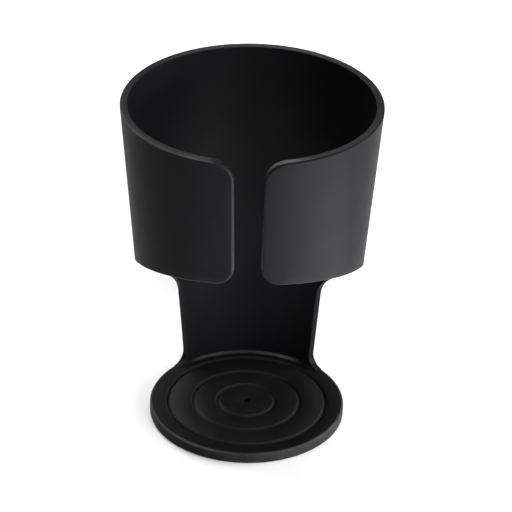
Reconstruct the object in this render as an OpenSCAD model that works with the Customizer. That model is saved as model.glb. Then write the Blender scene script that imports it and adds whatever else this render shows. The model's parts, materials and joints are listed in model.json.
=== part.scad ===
// Desk clamp cup holder.
// A tapered cup collar, its rear stem and its round base are one moulding that stands on the base.
// A screw clamp for a desktop edge hangs behind the stem on a vertical swivel.
// Frame: origin at the centre of the base's underside, +Z up, the collar's slot at the front (-Y),
// the clamp at the back (+Y). Millimetres.

/* [Cup holder] */
// Outer diameter of the collar at its rim
rim_d = 95; // [80:0.1:100]
// Outer diameter of the cone where it meets the floor
foot_d = 72.7; // [68:0.1:76]
// Height of the rim above the floor, at the back and sides
holder_h = 130.7; // [118:0.1:140]
// Wall thickness of the collar and the stem
wall = 3; // [2.4:0.1:3.4]
// Thickness of the base plate
base_t = 4.2; // [4:0.1:6]

/* [Collar and stem] */
// Half of the angle of the slot between the lips
slot_half = 6.65; // [4:0.05:12]
// Radius of the lips' lower corners
lip_r = 7; // [4:0.5:10]
// Radius of the lips' upper corners
lip_top_r = 8; // [4:0.5:10]
// How much higher the rim is beside the slot than at the back
lip_rise = 1.2; // [0:0.1:2]
// Height of the collar's lower edge at the front
edge_front = 80.6; // [74:0.1:86]
// Drop of the collar's lower edge from the front to the sides
edge_drop = 14.1; // [8:0.1:16]
// Angle from the front to the stem's side edges
stem_phi = 137.4; // [134:0.1:142]
// How many degrees each of the stem's edges leans out from its root to the collar
stem_lean = 1.3; // [0.5:0.1:3]
// Radius of the fillet between the stem's edges and the collar
flare_r = 10; // [6:0.5:14]

/* [Mat] */
// Radius of the rubber mat in the base
mat_r = 29.6; // [26:0.1:30]
// Radii of the two grooves in the mat
groove_r = [10.8, 20.05];
// Radius of the hole in the middle of the mat
mat_hole_r = 1.5; // [1:0.1:3]

/* [Clamp] */
// Width of the clamp frame
clamp_w = 40; // [36:1:42]
// Height of the desktop's upper face above the floor
desk_z = 78; // [76:0.5:80]
// Thickness of the desktop that the rest position is set for
desk_t = 25; // [24:0.5:25]
// Distance of the swivel axis behind the cup's axis
pivot_y = 59.5; // [59:0.1:61]
// Distance of the clamp screw behind the cup's axis
screw_y = 93; // [91:0.5:95]
// Reach of the upper jaw behind the cup's axis
jaw_end_y = 109; // [104:1:110]
// Radius of the clamp screw over its thread
screw_r = 4; // [3.5:0.5:4]

/* [Hidden] */
$fn = 96;
eps = 0.01;

// The cone: outer radius at a height, and the arc length of one degree of it.
taper = (rim_d - foot_d) / 2 / holder_h;
function cone_r(z) = foot_d / 2 + taper * z;
function arc_len(z) = cone_r(z) * PI / 180;

base_edge_r = 1.3;      // rounding of the base plate's upper edge
base_foot_r = 0.6;      // rounding of its lower edge
mat_recess = 1.8;       // depth of the recess that holds the mat
mat_gap = 0.2;          // gap round the mat
sweep_phi = 65;         // the lower edge starts to sweep down past this angle
sweep_rate = 0.0035;    // how fast it sweeps down, in mm per square degree
root_r = 5;             // fillet between the stem and the base
cut_in = foot_d / 2 - 12;   // the wall's cutters reach from this radius
cut_out = rim_d / 2 + 8;    // to this one
groove_depth = 0.9;     // the V grooves, and the chamfers that face each other round the mat
groove_half = 1;

// The flat boss behind the collar, and the screws that hold the hinge leaf on it.
boss_half = 16;
boss_y = 49;
boss_z = [42, 92];
leaf_t = 3;
leaf_z = [44, 88];
leaf_screw_x = 10;
leaf_screw_z = [52, 80];
insert_r = 2.8;
insert_len = 6;
m4_r = 2;
fit = 0.02;             // clearance of a screw in its own thread

// The swivel: a barrel on the leaf between two ears on the clamp frame.
barrel_r = 6.5;
barrel_z = [58, 74];
ear_gap = 1;            // from the barrel's end to each ear
ear_h = 7;
pivot_r = 3;
bush_wall = 1;
flange_t = 0.9;
running = 0.05;         // radial clearance of what turns

// The clamp frame and its screw.
spine_y = [67, 73];
spine_z0 = 19;
arm_z = [26, 34];
plate_t = 4;
pad_t = 2;
jaw_z = desk_z + pad_t;
foot_r = 15;
foot_plate_t = 3;
foot_top_z = desk_z - desk_t;
foot_plate_z = foot_top_z - pad_t - foot_plate_t;
hub_h = 6;
hub_z = foot_plate_z - hub_h;
ball_r = 3.5;
ball_z = foot_plate_z - 2;
knob_r = 17;
knob_h = 12;
knob_lobes = 7;
nut_z = [3, 8];         // the nut inside the knob

// ---- Shared shapes -------------------------------------------------------------------------

// A point on a vertical cylinder, at an angle from the front towards +X.
function at_phi(phi, r, z) = [r * sin(phi), -r * cos(phi), z];

// A solid between two radii, whose section at angle phis[i] runs from lows[i] to highs[i].
module radial_cutter(phis, lows, highs, r_in, r_out) {
    n = len(phis);
    points = [for (i = [0 : n - 1]) each [
        at_phi(phis[i], r_in, lows[i]), at_phi(phis[i], r_out, lows[i]),
        at_phi(phis[i], r_out, highs[i]), at_phi(phis[i], r_in, highs[i])]];
    sides = [for (i = [0 : n - 2], k = [0 : 3]) each
        let (a = 4 * i + k, b = 4 * i + (k + 1) % 4, c = b + 4, d = a + 4) [[a, b, c], [a, c, d]]];
    ends = [[3, 2, 1, 0], [for (k = [0 : 3]) 4 * (n - 1) + k]];
    polyhedron(points, concat(sides, ends));
}

// A solid between two radii, whose section at height zs[i] spans plus and minus halves[i] degrees.
module level_cutter(zs, halves, r_in, r_out) {
    n = len(zs);
    points = [for (i = [0 : n - 1]) each [
        at_phi(-halves[i], r_in, zs[i]), at_phi(-halves[i], r_out, zs[i]),
        at_phi(halves[i], r_out, zs[i]), at_phi(halves[i], r_in, zs[i])]];
    sides = [for (i = [0 : n - 2], k = [0 : 3]) each
        let (a = 4 * i + k, b = 4 * i + (k + 1) % 4, c = b + 4, d = a + 4) [[a, c, b], [a, d, c]]];
    ends = [[0, 1, 2, 3], [for (k = [3 : -1 : 0]) 4 * (n - 1) + k]];
    polyhedron(points, concat(sides, ends));
}

// Points of an arc about [x, y], from one angle to another.
function arc(x, y, r, a0, a1, steps = 8) =
    [for (i = [0 : steps]) let (a = a0 + (a1 - a0) * i / steps) [x + r * cos(a), y + r * sin(a)]];

module tube(r_out, r_in, h) {
    difference() {
        cylinder(r = r_out, h = h);
        translate([0, 0, -1]) cylinder(r = r_in, h = h + 2);
    }
}

module at_leaf_screws() {
    for (x = [-leaf_screw_x, leaf_screw_x], z = leaf_screw_z)
        translate([x, boss_y, z]) rotate([-90, 0, 0]) children();
}

// ---- Cup holder ----------------------------------------------------------------------------

// Height of the collar's lower edge, which ends in a fillet on the stem.
function sweep_z(phi) = edge_front - edge_drop * (1 - cos(phi))
    - sweep_rate * pow(max(0, phi - sweep_phi), 2);
stem_top_phi = stem_phi - stem_lean;
flare_arc = arc_len(40);
flare_slope = (sweep_z(stem_top_phi - 5 / flare_arc) - sweep_z(stem_top_phi)) / 5;
flare_sin = flare_slope / sqrt(1 + flare_slope * flare_slope);
flare_phi = stem_top_phi - flare_r * (1 - flare_sin) / flare_arc;
flare_z = sweep_z(flare_phi) - flare_r * sqrt(1 - flare_sin * flare_sin);
side_z = base_t + root_r + 0.3;
function window_top(phi) = let (a = abs(phi), s = (stem_top_phi - a) * flare_arc)
    a < flare_phi ? sweep_z(a)
    : a < stem_top_phi ? flare_z + sqrt(max(0, flare_r * flare_r - pow(flare_r - s, 2)))
    : side_z + (flare_z - side_z) * (stem_phi - a) / stem_lean;

// Height of the wall that is left on the base's rim, which rises in a fillet to the stem.
root_phi = stem_phi - root_r / arc_len(base_t);
function window_low(phi) = let (a = abs(phi), s = (stem_phi - a) * arc_len(base_t))
    a < root_phi ? -1 : base_t + root_r - sqrt(max(0, root_r * root_r - pow(root_r - s, 2)));

// The window's angles crowd where the fillets turn upright.
window_half = concat([for (a = [0 : 5 : 115]) a], [118, 121, 124, 126.5],
    [root_phi - 0.1, root_phi, root_phi + 1], [for (a = [6 : -1 : 0]) stem_top_phi - 0.125 * a * a],
    [for (k = [0.7, 0.4, 0.15, 0]) stem_phi - k * stem_lean]);
window_phis = concat([for (i = [len(window_half) - 1 : -1 : 1]) -window_half[i]], window_half);

module window_cutter() {
    radial_cutter(window_phis, [for (a = window_phis) window_low(a)],
        [for (a = window_phis) window_top(a)], cut_in, cut_out);
}

// Height of the rim at an angle from the front.
rise_phi = 100;
function rim_z(phi) = holder_h + (abs(phi) < rise_phi ? lip_rise * (1 + cos(180 * phi / rise_phi)) / 2 : 0);
rim_top = holder_h + lip_rise + 0.5;

module rim_cutter() {
    front = [for (a = [-rise_phi : 5 : rise_phi]) a];
    back = [for (a = [rise_phi - 2 : 4 : 362 - rise_phi]) a];
    for (phis = [front, back])
        radial_cutter(phis, [for (a = phis) rim_z(a)], [for (a = phis) rim_top + 4], cut_in, cut_out);
}

// The slot widens at its ends by the round corners of the two lips.
lip_shares = [0, 0.04, 0.14, 0.28, 0.45, 0.65, 0.87, 1];
function lip_flare(share, r) = r - sqrt(max(0, r * r - pow(r * (1 - share), 2)));
lip_low_z = edge_front - 0.7;
lip_top_z = rim_z(slot_half + lip_top_r / arc_len(holder_h));
slot_levels = concat([[lip_low_z - 2, lip_r]],
    [for (k = lip_shares) [lip_low_z + k * lip_r, lip_flare(k, lip_r)]],
    [for (i = [len(lip_shares) - 1 : -1 : 0])
        [lip_top_z - lip_shares[i] * lip_top_r, lip_flare(lip_shares[i], lip_top_r)]],
    [[rim_top + 2, lip_top_r]]);

module slot_cutter() {
    level_cutter([for (l = slot_levels) l[0]],
        [for (l = slot_levels) slot_half + l[1] / arc_len(l[0])], cut_in, cut_out);
}

module cup_wall() {
    difference() {
        rotate_extrude() polygon([[cone_r(1) - wall, 1], [cone_r(1), 1],
            [cone_r(rim_top), rim_top], [cone_r(rim_top) - wall, rim_top]]);
        window_cutter();
        slot_cutter();
        rim_cutter();
    }
}

module base_plate() {
    recess_z = base_t - mat_recess;
    recess_r = mat_r + mat_gap;
    rotate_extrude() polygon(concat([[0, 0]],
        arc(cone_r(0) - base_foot_r, base_foot_r, base_foot_r, -90, 0),
        arc(cone_r(base_t) - base_edge_r, base_t - base_edge_r, base_edge_r, 0, 90),
        [[recess_r + groove_half - mat_gap / 2, base_t], [recess_r, base_t - groove_depth],
            [recess_r, recess_z], [0, recess_z]]));
}

module rear_boss() {
    difference() {
        translate([-boss_half, 0, 0]) rotate([90, 0, 90]) linear_extrude(2 * boss_half)
            polygon([[30, boss_z[0]], [42, boss_z[0]], [boss_y, boss_z[0] + 3],
                [boss_y, boss_z[1] - 2], [46, boss_z[1]], [30, boss_z[1]]]);
        cylinder(r1 = cone_r(0) - wall / 2, r2 = cone_r(holder_h) - wall / 2, h = holder_h);
        at_leaf_screws() translate([0, 0, -insert_len - 0.3]) cylinder(r = insert_r, h = insert_len + 1);
    }
}

module cup_shell() {
    color("#1b1b1d") union() {
        cup_wall();
        base_plate();
        rear_boss();
    }
}

module base_mat() {
    low = base_t - mat_recess;
    grooves = [for (r = groove_r) each [[r - groove_half, base_t], [r, base_t - groove_depth],
        [r + groove_half, base_t]]];
    color("#141415") rotate_extrude() polygon(concat([[mat_hole_r, low], [mat_hole_r, base_t]],
        grooves, [[mat_r - groove_half + mat_gap / 2, base_t], [mat_r, base_t - groove_depth],
        [mat_r, low]]));
}

// ---- Swivel --------------------------------------------------------------------------------

module leaf_inserts() {
    color("goldenrod") at_leaf_screws() translate([0, 0, -insert_len]) tube(insert_r, m4_r + fit, insert_len);
}

module hinge_leaf() {
    color("#26272a") difference() {
        union() {
            translate([-boss_half, boss_y, leaf_z[0]])
                cube([2 * boss_half, leaf_t, leaf_z[1] - leaf_z[0]]);
            translate([-4.5, boss_y + leaf_t - 1, barrel_z[0]])
                cube([9, pivot_y - boss_y - leaf_t + 1, barrel_z[1] - barrel_z[0]]);
            translate([0, pivot_y, barrel_z[0]]) cylinder(r = barrel_r, h = barrel_z[1] - barrel_z[0]);
        }
        translate([0, pivot_y, barrel_z[0] - 1])
            cylinder(r = pivot_r + running + bush_wall, h = barrel_z[1] - barrel_z[0] + 2);
        at_leaf_screws() translate([0, 0, -1]) cylinder(r = m4_r + 0.2, h = leaf_t + 2);
    }
}

module leaf_screws() {
    head_r = 3.6;
    head_h = 2.2;
    socket_r = 1.45;
    color("#3a3b3e") at_leaf_screws() difference() {
        union() {
            translate([0, 0, -insert_len + 0.5]) cylinder(r = m4_r, h = insert_len + leaf_t);
            translate([0, 0, leaf_t]) cylinder(r1 = head_r, r2 = head_r - 1, h = head_h);
        }
        translate([0, 0, leaf_t + head_h - 1.4]) cylinder(r = socket_r, h = 2, $fn = 6);
    }
}

// Two flanged bushes that line the barrel and space it from the ears.
module swivel_bushes() {
    bush_len = (barrel_z[1] - barrel_z[0]) / 2 - 1;
    color("#d8d6cc") for (end = [0, 1])
        translate([0, pivot_y, barrel_z[end]]) mirror([0, 0, end]) difference() {
            union() {
                cylinder(r = pivot_r + running + bush_wall, h = bush_len);
                translate([0, 0, -flange_t]) cylinder(r = barrel_r - 0.5, h = flange_t);
            }
            translate([0, 0, -2]) cylinder(r = pivot_r + running, h = bush_len + 4);
        }
}

ear_low_z = barrel_z[0] - ear_gap - ear_h;
ear_top_z = barrel_z[1] + ear_gap + ear_h;
thrust_t = 1;
spring_t = 0.5;
spring_h = 0.9;
nut_h = 4;
nut_top_z = ear_low_z - thrust_t - 2 * spring_h;

module pivot_bolt() {
    head_r = 4.6;
    head_h = 3.4;
    thread_r = 2.5;
    thread_end_z = nut_top_z - nut_h - 1.5;
    color("#8d9094") translate([0, pivot_y, 0]) difference() {
        union() {
            translate([0, 0, thread_end_z]) cylinder(r = thread_r, h = 20);
            translate([0, 0, ear_low_z]) cylinder(r = pivot_r, h = ear_top_z - ear_low_z + 1);
            translate([0, 0, ear_top_z]) cylinder(r = head_r, h = head_h);
        }
        translate([0, 0, ear_top_z + head_h - 2]) cylinder(r = 1.75, h = 3, $fn = 6);
    }
}

module thrust_washer() {
    color("#c9cbce") translate([0, pivot_y, ear_low_z - thrust_t]) tube(5.6, 2.6, thrust_t);
}

// Two disc springs, stacked back to back, that keep the swivel's friction up.
module disc_springs() {
    r_out = 5;
    r_in = 2.6;
    rise = spring_h - spring_t;
    color("#9a9ca0") for (k = [0, 1])
        translate([0, pivot_y, ear_low_z - thrust_t - spring_h]) mirror([0, 0, k]) rotate_extrude()
            polygon([[r_in, rise], [r_in, rise + spring_t], [r_out, spring_t], [r_out, 0]]);
}

module pivot_nut() {
    color("#b9bbbe") translate([0, pivot_y, nut_top_z - nut_h]) difference() {
        cylinder(r = 4.6, h = nut_h, $fn = 6);
        translate([0, 0, -1]) cylinder(r = 2.5 + fit, h = nut_h + 2);
    }
}

module pivot_cap() {
    cap_r = 6.2;
    cap_h = 5.2;
    color("#1f1f21") translate([0, pivot_y, ear_top_z]) rotate_extrude()
        polygon(concat([[4.9, 0], [cap_r, 0]], arc(cap_r - 1.5, cap_h - 1.5, 1.5, 0, 90),
            [[0, cap_h], [0, cap_h - 1.3], [4.9, cap_h - 1.3]]));
}

// ---- Clamp ---------------------------------------------------------------------------------

// A plate seen from above: square at the spine, with round corners at its far end.
module jaw_outline(half, y0, y1, r) {
    translate([-half, y0]) square([2 * half, y1 - r - y0]);
    translate([-half + r, y0]) square([2 * (half - r), y1 - y0]);
    for (side = [-1, 1]) translate([side * (half - r), y1 - r]) circle(r = r);
}

module clamp_ears() {
    for (z = [ear_low_z, barrel_z[1] + ear_gap]) translate([0, 0, z]) {
        translate([0, pivot_y, 0]) cylinder(r = barrel_r, h = ear_h);
        translate([-barrel_r, pivot_y, 0]) cube([2 * barrel_r, spine_y[0] - pivot_y + 1, ear_h]);
    }
}

module clamp_frame() {
    half = clamp_w / 2;
    arm_boss_r = 11;
    color("#202124") difference() {
        union() {
            translate([-half, spine_y[0], spine_z0])
                cube([clamp_w, spine_y[1] - spine_y[0], jaw_z + plate_t - spine_z0]);
            translate([0, 0, jaw_z]) linear_extrude(plate_t)
                jaw_outline(half, spine_y[0], jaw_end_y, 9);
            translate([0, 0, arm_z[0]]) linear_extrude(arm_z[1] - arm_z[0])
                polygon([[-half, spine_y[0]], [half, spine_y[0]], [half, spine_y[1] + 2],
                    [arm_boss_r * 0.96, screw_y - 3], [-arm_boss_r * 0.96, screw_y - 3],
                    [-half, spine_y[1] + 2]]);
            translate([0, screw_y, arm_z[0]]) cylinder(r = arm_boss_r, h = arm_z[1] - arm_z[0]);
            // gusset under the arm
            translate([-3, 0, 0]) rotate([90, 0, 90]) linear_extrude(6)
                polygon([[spine_y[1] - 1, spine_z0 + 0.5], [spine_y[1] + 1, spine_z0 + 0.5],
                    [screw_y - 14, arm_z[0] + 1], [spine_y[1] - 1, arm_z[0] + 1]]);
            clamp_ears();
        }
        translate([0, pivot_y, ear_low_z - 1])
            cylinder(r = pivot_r + running, h = ear_top_z - ear_low_z + 2);
        translate([0, screw_y, arm_z[0] - 1]) cylinder(r = 6, h = arm_z[1] - arm_z[0] + 2);
    }
}

module jaw_pad() {
    color("#2c2c2e") translate([0, 0, desk_z]) linear_extrude(pad_t)
        jaw_outline(clamp_w / 2 - 2, spine_y[1] + 2, jaw_end_y - 2, 7);
}

module edge_pad() {
    pad_half = clamp_w / 2 - 3;
    color("#2c2c2e") translate([-pad_half, spine_y[1], arm_z[1] + 4])
        cube([2 * pad_half, 1.5, desk_z - arm_z[1] - 6]);
}

module thread_bush() {
    color("goldenrod") translate([0, screw_y, arm_z[0]]) tube(6, screw_r + running, arm_z[1] - arm_z[0]);
}

module pressure_foot() {
    ring_z = hub_z + 0.5;
    color("#a9abae") translate([0, screw_y, 0]) difference() {
        union() {
            translate([0, 0, foot_plate_z]) cylinder(r = foot_r, h = foot_plate_t);
            translate([0, 0, hub_z]) cylinder(r = 7.5, h = hub_h + 1);
        }
        translate([0, 0, ball_z]) sphere(r = ball_r + 0.1);
        translate([0, 0, hub_z - 1]) cylinder(r = ball_r + 0.1, h = ball_z - hub_z + 1);
        translate([0, 0, ring_z]) cylinder(r = 4.6, h = 0.8);
    }
}

module foot_pad() {
    color("#2c2c2e") translate([0, screw_y, foot_top_z - pad_t]) cylinder(r = foot_r - 1, h = pad_t);
}

// The open spring ring that keeps the screw's ball in the foot.
module ball_ring() {
    color("#c9cbce") translate([0, screw_y, hub_z + 0.5]) difference() {
        tube(4.6, 2.7, 0.8);
        translate([-0.7, 0, -1]) cube([1.4, 8, 3]);
    }
}

module clamp_screw() {
    neck_r = 2.3;
    neck_z0 = hub_z - 1;
    screw_z0 = nut_z[0];
    color("#a9abae") translate([0, screw_y, 0]) union() {
        translate([0, 0, screw_z0]) cylinder(r = screw_r, h = neck_z0 - screw_z0);
        translate([0, 0, neck_z0 - 1]) cylinder(r = neck_r, h = ball_z - neck_z0 + 1);
        translate([0, 0, ball_z]) sphere(r = ball_r);
    }
}

module knob_outline() {
    lobe_r = 4.2;
    circle(r = knob_r - 2.2);
    for (i = [0 : knob_lobes - 1]) rotate(i * 360 / knob_lobes)
        translate([0, knob_r - lobe_r]) circle(r = lobe_r);
}

module knob() {
    color("#18181a") translate([0, screw_y, 0]) difference() {
        union() {
            linear_extrude(knob_h - 3) knob_outline();
            translate([0, 0, knob_h - 3 - eps]) cylinder(r1 = knob_r - 5, r2 = 8, h = 3 + eps);
        }
        translate([0, 0, -1]) cylinder(r = 9, h = nut_z[0] + 1);
        translate([0, 0, nut_z[0] - 1]) cylinder(r = 7.5, h = nut_z[1] - nut_z[0] + 1, $fn = 6);
        translate([0, 0, 1]) cylinder(r = screw_r + fit, h = knob_h);
    }
}

module knob_nut() {
    color("goldenrod") translate([0, screw_y, nut_z[0]]) difference() {
        cylinder(r = 7.5, h = nut_z[1] - nut_z[0], $fn = 6);
        translate([0, 0, -1]) cylinder(r = screw_r + fit, h = 20);
    }
}

module knob_cap() {
    color("#242427") translate([0, screw_y, 0.3]) cylinder(r = 9, h = nut_z[0] - 0.3);
}

cup_shell();
base_mat();
leaf_inserts();
hinge_leaf();
leaf_screws();
swivel_bushes();
clamp_frame();
jaw_pad();
edge_pad();
thread_bush();
pivot_bolt();
thrust_washer();
disc_springs();
pivot_nut();
pivot_cap();
pressure_foot();
foot_pad();
ball_ring();
clamp_screw();
knob();
knob_nut();
knob_cap();
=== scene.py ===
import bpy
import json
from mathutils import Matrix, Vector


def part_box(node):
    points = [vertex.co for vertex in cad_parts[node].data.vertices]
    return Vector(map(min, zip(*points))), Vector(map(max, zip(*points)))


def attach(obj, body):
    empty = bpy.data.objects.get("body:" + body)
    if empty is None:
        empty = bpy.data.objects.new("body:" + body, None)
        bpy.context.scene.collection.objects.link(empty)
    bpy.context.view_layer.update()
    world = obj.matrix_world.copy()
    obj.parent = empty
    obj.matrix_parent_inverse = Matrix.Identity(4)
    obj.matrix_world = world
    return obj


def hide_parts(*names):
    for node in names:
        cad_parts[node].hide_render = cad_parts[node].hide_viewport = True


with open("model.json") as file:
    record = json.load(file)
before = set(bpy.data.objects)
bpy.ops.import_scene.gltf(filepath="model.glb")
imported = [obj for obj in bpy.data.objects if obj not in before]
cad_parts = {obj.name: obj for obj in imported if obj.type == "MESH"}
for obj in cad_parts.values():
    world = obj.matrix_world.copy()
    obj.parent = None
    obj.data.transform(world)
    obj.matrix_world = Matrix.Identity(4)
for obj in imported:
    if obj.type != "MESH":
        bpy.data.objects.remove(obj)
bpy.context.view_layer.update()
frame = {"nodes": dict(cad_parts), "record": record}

import json
import math

import bmesh
import bpy
import numpy as np
from mathutils import Matrix, Vector, geometry

# Shapes are made in millimetres, and mesh_from() turns them into metres.
MM = 0.001
NODES = frame["nodes"]
SLOTS = {s["node"]: s["material_slot"] for s in frame["record"]["subparts"]}


def low(node):
    """A CAD node's lowest corner in millimetres."""
    return np.array(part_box(node)[0]) / MM


def high(node):
    return np.array(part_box(node)[1]) / MM


# ---- Materials -----------------------------------------------------------------------------

# Sizes in millimetres of what every finish has: broad colour patches, finer patches of roughness,
# patches in the marks along an edge (rubbing, and on the moulded plastic a painted highlight), and the slow
# waviness of a moulded or cast face with its height.
BLOTCH, ROUGH_PATCH, EDGE_MARK_PATCH, SWELL, SWELL_BUMP = 14.0, 6.3, 6.0, 9.0, 0.03
SPECK = 2.2                                        # specks are this many times as large as the grain
LEAST_EDGE_MARK = 0.62                                   # how much of its edge mark (wear, and on the moulded plastic painted highlight) the weakest patch shows
WHITE = (1, 1, 1, 1)


def material(name, color, rough, grain=0.25, grain_bump=0.012, vary=0.12, rough_vary=0.05, spec=0.5,
             metal=0.0, streak=(1, 1, 1), edge=None):
    """A shader whose colour, roughness and bump come from noise.

    grain and grain_bump are the grain's size and height in millimetres. vary and rough_vary are how far
    colour and roughness stray. streak stretches the noise along an axis, as brushing does. edge is the
    colour of marked convex edges, which a mesh attribute marks: rubbing on most parts, and a painted
    highlight along the moulded plastic's edges.
    """
    m = bpy.data.materials.new(name)
    m.use_nodes = True
    t = m.node_tree
    t.nodes.clear()
    out = t.nodes.new("ShaderNodeOutputMaterial")
    bsdf = t.nodes.new("ShaderNodeBsdfPrincipled")
    t.links.new(bsdf.outputs[0], out.inputs[0])
    bsdf.inputs["Metallic"].default_value = metal
    bsdf.inputs["Specular IOR Level"].default_value = spec
    coords = t.nodes.new("ShaderNodeTexCoord")
    stretch = t.nodes.new("ShaderNodeMapping")
    stretch.inputs["Scale"].default_value = streak
    t.links.new(coords.outputs["Object"], stretch.inputs["Vector"])

    def noise(size_mm, detail, vector=stretch.outputs["Vector"]):
        n = t.nodes.new("ShaderNodeTexNoise")
        n.inputs["Scale"].default_value = 1 / (size_mm * MM)
        n.inputs["Detail"].default_value = detail
        n.inputs["Roughness"].default_value = 0.55
        t.links.new(vector, n.inputs["Vector"])
        return n.outputs["Fac"]

    def ramp(fac, stops):
        r = t.nodes.new("ShaderNodeValToRGB")
        r.color_ramp.elements[0].position, r.color_ramp.elements[0].color = stops[0]
        r.color_ramp.elements[1].position, r.color_ramp.elements[1].color = stops[-1]
        for pos, col in stops[1:-1]:
            r.color_ramp.elements.new(pos).color = col
        t.links.new(fac, r.inputs[0])
        return r.outputs[0]

    def grey(value):
        return (value, value, value, 1)

    def bump(fac, height_mm):
        b = t.nodes.new("ShaderNodeBump")
        b.inputs["Strength"].default_value = 1.0
        b.inputs["Distance"].default_value = height_mm * MM
        t.links.new(fac, b.inputs["Height"])
        return b

    c = np.array(color)
    base = ramp(noise(BLOTCH, 5), [(0.3, (*(c * (1 - vary)), 1)), (0.5, (*c, 1)),
                                   (0.72, (*(c * (1 + vary)), 1))])
    speck = ramp(noise(grain * SPECK, 2), [(0.35, grey(1 - 0.5 * vary)), (0.65, WHITE)])
    mix = t.nodes.new("ShaderNodeMix")
    mix.data_type = "RGBA"
    mix.blend_type = "MULTIPLY"
    mix.inputs["Factor"].default_value = 1.0
    t.links.new(base, mix.inputs["A"])
    t.links.new(speck, mix.inputs["B"])
    tint = mix.outputs["Result"]
    # The edge colour goes where the mesh attribute marks an edge: rubbing on the clamp and knob, a painted
    # highlight on the moulded plastic.
    if edge:
        wear_sheen_attr = t.nodes.new("ShaderNodeAttribute")
        wear_sheen_attr.attribute_name = "wear_and_sheen"
        uneven = t.nodes.new("ShaderNodeMath")
        uneven.operation = "MULTIPLY"
        t.links.new(wear_sheen_attr.outputs["Fac"], uneven.inputs[0])
        t.links.new(ramp(noise(EDGE_MARK_PATCH, 3), [(0.35, grey(LEAST_EDGE_MARK)), (0.65, WHITE)]),
                    uneven.inputs[1])
        rub_and_sheen = t.nodes.new("ShaderNodeMix")
        rub_and_sheen.data_type = "RGBA"
        rub_and_sheen.inputs["B"].default_value = (*edge, 1)
        t.links.new(uneven.outputs[0], rub_and_sheen.inputs["Factor"])
        t.links.new(tint, rub_and_sheen.inputs["A"])
        tint = rub_and_sheen.outputs["Result"]
    t.links.new(tint, bsdf.inputs["Base Color"])

    r = t.nodes.new("ShaderNodeMapRange")
    r.inputs["From Min"].default_value = 0.3
    r.inputs["From Max"].default_value = 0.7
    r.inputs["To Min"].default_value = max(0.02, rough - rough_vary)
    r.inputs["To Max"].default_value = min(1.0, rough + rough_vary)
    t.links.new(noise(ROUGH_PATCH, 4), r.inputs["Value"])
    t.links.new(r.outputs[0], bsdf.inputs["Roughness"])

    grains = bump(noise(grain, 3), grain_bump)
    swell = bump(noise(SWELL, 2, coords.outputs["Object"]), SWELL_BUMP)
    t.links.new(grains.outputs[0], swell.inputs["Normal"])
    t.links.new(swell.outputs[0], bsdf.inputs["Normal"])
    return m


MATS = {
    # The moulded plastic's edge colour is a painted highlight: light lines and glints along the shell's
    # edges.
    "moulded_plastic": material("moulded_plastic", (0.004, 0.004, 0.0048), 0.5, grain=0.22,
                                grain_bump=0.006, rough_vary=0.03, spec=0.04, edge=(0.084, 0.084, 0.086)),
    "mat_rubber": material("mat_rubber", (0.004, 0.004, 0.0045), 0.5, grain=0.3, grain_bump=0.01, spec=0.07,
                           edge=(0.03, 0.03, 0.031)),
    "clamp_paint": material("clamp_paint", (0.016, 0.0165, 0.0175), 0.42, grain=0.5, grain_bump=0.03,
                            rough_vary=0.07, spec=0.4, edge=(0.05, 0.05, 0.052)),
    "pad_rubber": material("pad_rubber", (0.03, 0.03, 0.032), 0.78, grain=0.35, grain_bump=0.03, spec=0.3),
    "knob_plastic": material("knob_plastic", (0.014, 0.014, 0.015), 0.5, grain=0.45, grain_bump=0.03,
                             spec=0.4, edge=(0.035, 0.035, 0.036)),
    "cap_plastic": material("cap_plastic", (0.016, 0.016, 0.017), 0.3, grain=0.3, grain_bump=0.004),
    "bush_plastic": material("bush_plastic", (0.66, 0.64, 0.56), 0.4, grain=0.4, grain_bump=0.006,
                             vary=0.05),
    "steel": material("steel", (0.56, 0.57, 0.59), 0.3, grain=0.12, grain_bump=0.004, vary=0.1,
                      rough_vary=0.08, metal=1.0, streak=(1, 1, 6)),
    "black_steel": material("black_steel", (0.05, 0.05, 0.055), 0.36, grain=0.15, grain_bump=0.006,
                            vary=0.2, metal=0.7),
    "brass": material("brass", (0.72, 0.53, 0.25), 0.3, grain=0.12, grain_bump=0.004, metal=1.0,
                      streak=(1, 1, 8)),
}


# ---- Mesh helpers --------------------------------------------------------------------------

# The moulded shell's edge marks are a painted highlight, at this share of the edge colour.
PLASTIC_EDGE_HIGHLIGHT = 0.33                                # how strongly the moulded shell's edges are marked
FLAT_BELOW, FULL_MARK_FROM = 0.12, 0.62                 # curvature in 1/mm of a plain face and a full mark


def mesh_from(name, verts, faces, turn_out=True):
    """A mesh from vertices in millimetres. turn_out makes its faces point outwards."""
    mesh = bpy.data.meshes.new(name)
    mesh.from_pydata([tuple(float(c) * MM for c in v) for v in verts], [], faces)
    mesh.validate()
    if turn_out:
        bm = bmesh.new()
        bm.from_mesh(mesh)
        bmesh.ops.recalc_face_normals(bm, faces=bm.faces)
        bm.to_mesh(mesh)
        bm.free()
    return mesh


def make(name, verts, faces, node, body, normals=None, sharp=38, wear_and_sheen=None):
    """A piece from vertices in millimetres. It stands for a CAD node and takes that node's finish.

    normals are exact ones for the vertices, and without them edges above sharp degrees stay sharp.
    The last argument, a function of (x, y, z, w), repaints the edge marks with painted highlight and shade,
    from arrays in millimetres.
    """
    mesh = mesh_from(name, verts, faces, turn_out=normals is None)
    mesh.shade_smooth()
    if normals is None:
        mesh.set_sharp_from_angle(angle=math.radians(sharp))
    else:
        mesh.normals_split_custom_set_from_vertices([Vector(n).normalized() for n in normals])
    place(name, mesh, node, body)
    if wear_and_sheen:
        co = np.array([v.co[:] for v in mesh.vertices]) / MM
        layer = mesh.attributes["wear_and_sheen"]
        w = np.array([d.value for d in layer.data])
        layer.data.foreach_set("value", np.clip(wear_and_sheen(*co.T, w), 0, 1).astype(np.float32))


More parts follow.
